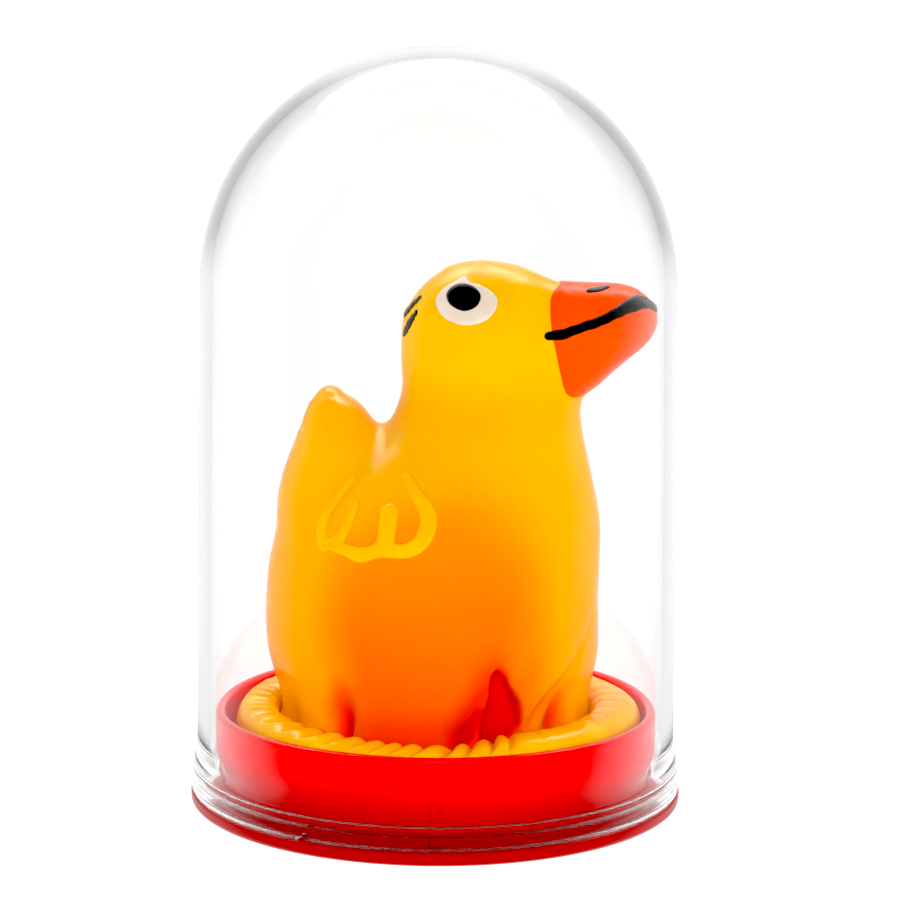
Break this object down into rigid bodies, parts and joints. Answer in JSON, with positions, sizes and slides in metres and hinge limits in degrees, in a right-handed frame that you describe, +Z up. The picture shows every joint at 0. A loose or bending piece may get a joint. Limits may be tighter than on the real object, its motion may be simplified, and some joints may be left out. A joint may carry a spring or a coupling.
{
  "type": "latex duck novelty in a dome case",
  "caption": "Hollow painted latex duck with a rolled hem, hung over an inner former in a shallow flanged cup, under a clear push-on dome.",
  "frame": {"origin": "centre of the base's underside, on the dome's axis", "axes": "+Z up along the dome's axis, +X the way the duck looks, +Y the duck's left"},
  "size_m": [0.05, 0.05, 0.0761],
  "materials": {
    "red_plastic": "glossy moulded plastic",
    "clear_plastic": "clear polished polystyrene",
    "yellow_latex": "wet-looking, slightly see-through dipped latex",
    "orange_latex": "glossy dipped latex",
    "black_latex": "glossy brushed-on latex",
    "cream_latex": "satin brushed-on latex",
    "pale_yellow_latex": "glossy brushed-on latex"
  },
  "bodies": {
    "base": {"base_cup": "red_plastic", "inner_former": "red_plastic"},
    "figure": {"figure_skin": "yellow_latex", "rolled_hem": "yellow_latex", "beak_coat": "orange_latex", "mouth_line": "black_latex", "nostril_left": "black_latex", "nostril_right": "black_latex", "eye_white_left": "cream_latex", "eye_white_right": "cream_latex", "pupil_left": "black_latex", "pupil_right": "black_latex", "wing_outline_left": "pale_yellow_latex", "wing_outline_right": "pale_yellow_latex", "crest_marks": "black_latex"},
    "dome": {"dome_cover": "clear_plastic"}
  },
  "joints": [
    {"name": "figure_lift", "type": "slide", "parent": "base", "child": "figure", "axis": [0, 0, 1], "range_m": [0, 0.03]},
    {"name": "dome_lift", "type": "slide", "parent": "figure", "child": "dome", "axis": [0, 0, 1], "range_m": [0, 0.06]}
  ]
}
